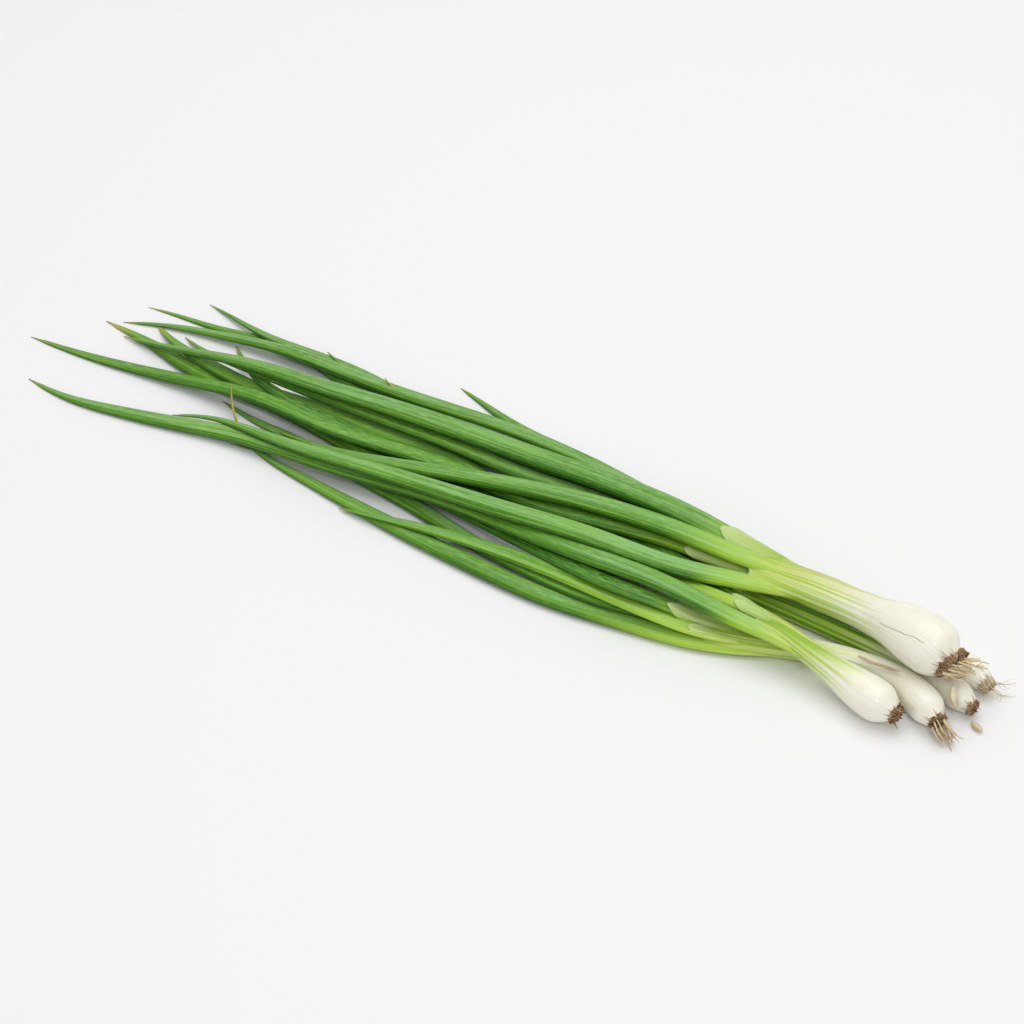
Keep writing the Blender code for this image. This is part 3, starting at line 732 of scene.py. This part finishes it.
def root_fibre(start, end, thick, wave, shade, rng):
    """One wavy, tapering root."""
    t = np.linspace(0, 1, ROOT_RINGS)[:, None]
    length = np.linalg.norm(end - start)
    bends = softened(rng.normal(0, 1, (ROOT_RINGS, 3)), 2)
    places = start + (end - start) * t + wave * 0.35 * length * np.sqrt(t) * t * (bends - bends[0])
    places = softened(places, 1)
    places[:, 2] = np.maximum(places[:, 2], thick)
    rings = round_rings(places, thick * (1 - 0.75 * t), ROOT_SIDES)
    return tube(rings, 6 * thick, distance_along(places), shade=shade, seed=rng.uniform(0, 1))


def root_crust(plate, outward, half, look, rng):
    """The rough disc at the foot of a bulb that its roots grow from."""
    across, up = sides(outward)
    angle = np.linspace(0, 2 * math.pi, CRUST_SIDES, endpoint=False)
    out = np.array(CRUST_OUT) * look.crust
    size = np.array(CRUST_SIZE)[:, None]
    lumps = rng.normal(0, 1, (len(out), CRUST_SIDES))
    rough = 1 + 0.07 * lumps
    a, u = half[0] * size * rough * np.cos(angle), half[1] * size * rough * np.sin(angle)
    ahead = out[:, None] + 0.5 * rng.normal(0, 1, lumps.shape) * (out[:, None] > -0.5)
    rings = plate + across * a[..., None] + up * u[..., None] + outward * ahead[..., None]
    rings[..., 2] = np.maximum(rings[..., 2], FLOOR_GAP)
    shade = np.clip(look.crust_light + 0.16 * rng.normal(0, 1, lumps.shape), 0, 1)
    return tube(rings, 6 * half[0], out, shade=shade, seed=rng.uniform(0, 1))


def build_roots(plant, stem, seed, material):
    """A plant's root crust and its roots, which reach towards the end of its packed tuft."""
    look = ROOTS[plant]
    rng = np.random.default_rng(seed)
    node = f"onion_{plant}_root_tuft"
    plate, outward = stem[0, :3], -headings(stem[:, :3])[0]
    points = read_solid(node)[0]
    far = points[np.argsort(np.linalg.norm(points - plate, axis=1))[-10:]].mean(axis=0)
    length = np.linalg.norm(far - plate) * look.reach
    half = stem[0, 3:] * look.plate
    across, up = sides(outward)
    tubes = [root_crust(plate, outward, half, look, rng)]
    for _ in range(look.count):
        turn, share = rng.uniform(0, 2 * math.pi), 0.85 * math.sqrt(rng.uniform(0, 1))
        radial = across * (half[0] * math.cos(turn)) + up * (half[1] * math.sin(turn))
        start = plate + radial * share + outward * 0.3 * look.crust
        aim = unit(far - plate + radial * share * look.spread * length / half[0])
        end = start + aim * length * rng.uniform(0.55, 1.05)
        end[2] = max(end[2], 0.4)
        shade = np.clip(look.light + 0.15 * rng.normal(0, 1), 0, 1)
        tubes.append(root_fibre(start, end, look.thick * rng.uniform(0.5, 1.2), look.wave, shade, rng))
    return place_piece(add_mesh(f"roots_{plant}", tubes), material, "roots", node)


def build_dry_skin(node, look, seed, material):
    """A dried scrap of skin, curled across its length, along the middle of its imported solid."""
    rng = np.random.default_rng(seed)
    solid = read_solid(node)
    middle = solid[0].mean(axis=0)
    main = np.linalg.svd(solid[0] - middle, full_matrices=False)[2][0]
    low, high = ((solid[0] - middle) @ main).min(), ((solid[0] - middle) @ main).max()
    level = unit(np.cross(main, UPRIGHT))
    rows = []
    for x in np.linspace(low * 0.94, high * 0.94, 15):
        section = cut(solid, middle + main * x, main)
        rows.append((*section.mean(axis=0), np.ptp(section @ level) / 2))
    rows = softened(evenly(np.array(rows), 0.8), 1)
    count = len(rows)
    across, up = sides(headings(rows[:, :3]))
    t = np.linspace(0, 1, count)
    wide = look.widen * np.maximum(rows[:, 3], 0.8) * np.clip(6 * np.minimum(t, 1 - t), 0.15, 1) ** 0.5
    wide *= 1 + 0.15 * softened(rng.normal(0, 1, (count, 1)), 1)[:, 0]
    half = np.full(count, math.radians(look.curl))
    radius = wide / np.sin(half)
    ragged = 0.12 * softened(rng.normal(0, 1, (count, STRIP_SIDES)), 1)
    radius = radius[:, None] * (1 + ragged)
    lift = look.rise - radius.mean(axis=1) * (1 + np.cos(half)) / 2
    upright = np.full(count, math.pi / 2)
    rings = thin_strip(rows[:, :3], across, up, radius, upright, half, SCRAP_THICKNESS, lift)
    rings[..., 2] = np.maximum(rings[..., 2], FLOOR_GAP)
    scrap = tube(rings, 4 * wide.mean(), distance_along(rows), shade=look.shade, seed=rng.uniform(0, 1))
    piece = add_mesh(node.replace("dry_skin", "dried_skin"), [scrap])
    return place_piece(piece, material, "dry_skin", node)


def build_plants():
    leaf_skin, sheath_skin, root_skin = leaf_material(), sheath_material(), root_material()
    seed = 0
    for plant, count in PLANTS.items():
        stem = trace_stem(f"onion_{plant}_bulb")
        traced, leaves = {}, []
        for number in range(1, count + 1):
            node = f"onion_{plant}_leaf_{number}"
            rows, growth = leaf_in_neck(stem, trace_leaf(node), LEAVES[node])
            leaves.append((rows, 1 - 1.2 * LEAVES[node].proud))
            traced[node] = rows, growth
            seed += 1
            build_leaf(node, rows, growth, seed, leaf_skin)
        seed += 1
        rng = np.random.default_rng(seed)
        tubes = [build_sheath(plant, stem, leaves, rng)]
        for tongue in TONGUES:
            if tongue.leaf in traced:
                tubes.append(build_tongue(tongue, *traced[tongue.leaf], rng))
        place_piece(add_mesh(f"sheath_{plant}", tubes), sheath_skin, "bulb_and_neck", f"onion_{plant}_bulb")
        build_roots(plant, stem, seed + ROOT_SEEDS, root_skin)
    dry_skin = dry_skin_material()
    for node, look in DRY_SKINS.items():
        seed += 1
        build_dry_skin(node, look, seed, dry_skin)


# ---------------------------------------------------------------- studio


def build_camera():
    data = bpy.data.cameras.new("camera")
    data.lens, data.sensor_width = LENS, SENSOR
    camera = bpy.data.objects.new("camera", data)
    flat = math.cos(ELEVATION)
    away = Vector((math.sin(AZIMUTH) * flat, -math.cos(AZIMUTH) * flat, math.sin(ELEVATION)))
    camera.location = AIM + DISTANCE * away
    camera.rotation_euler = (-away).to_track_quat("-Z", "Y").to_euler()
    bpy.context.scene.collection.objects.link(camera)
    bpy.context.scene.camera = camera


def add_light(name, place, size, power):
    data = bpy.data.lights.new(name, "AREA")
    data.shape, data.size, data.energy = "DISK", size, power
    light = bpy.data.objects.new(name, data)
    light.location = place
    light.rotation_euler = (AIM - Vector(place)).to_track_quat("-Z", "Y").to_euler()
    bpy.context.scene.collection.objects.link(light)


def build_studio():
    mesh = bpy.data.meshes.new("floor")
    corners = [(x * FLOOR_REACH, y * FLOOR_REACH, 0) for x, y in ((-1, -1), (1, -1), (1, 1), (-1, 1))]
    mesh.from_pydata(corners, [], [(0, 1, 2, 3)])
    floor = bpy.data.objects.new("floor", mesh)
    bpy.context.scene.collection.objects.link(floor)
    paper = Shade("floor_paper", Roughness=0.9)
    paper.put(paper.shader.inputs["Base Color"], (FLOOR_LIGHTNESS, FLOOR_LIGHTNESS, FLOOR_LIGHTNESS, 1))
    mesh.materials.append(paper.material)
    world = bpy.data.worlds.new("studio")
    world.use_nodes = True
    background = world.node_tree.nodes["Background"]
    background.inputs["Color"].default_value = (1, 1, 1, 1)
    background.inputs["Strength"].default_value = SURROUNDING_LIGHT
    bpy.context.scene.world = world
    for name, (place, size, power) in LAMPS.items():
        add_light(name, place, size, power)
    bpy.context.scene.view_settings.view_transform = "Standard"


build_camera()
build_plants()
build_studio()
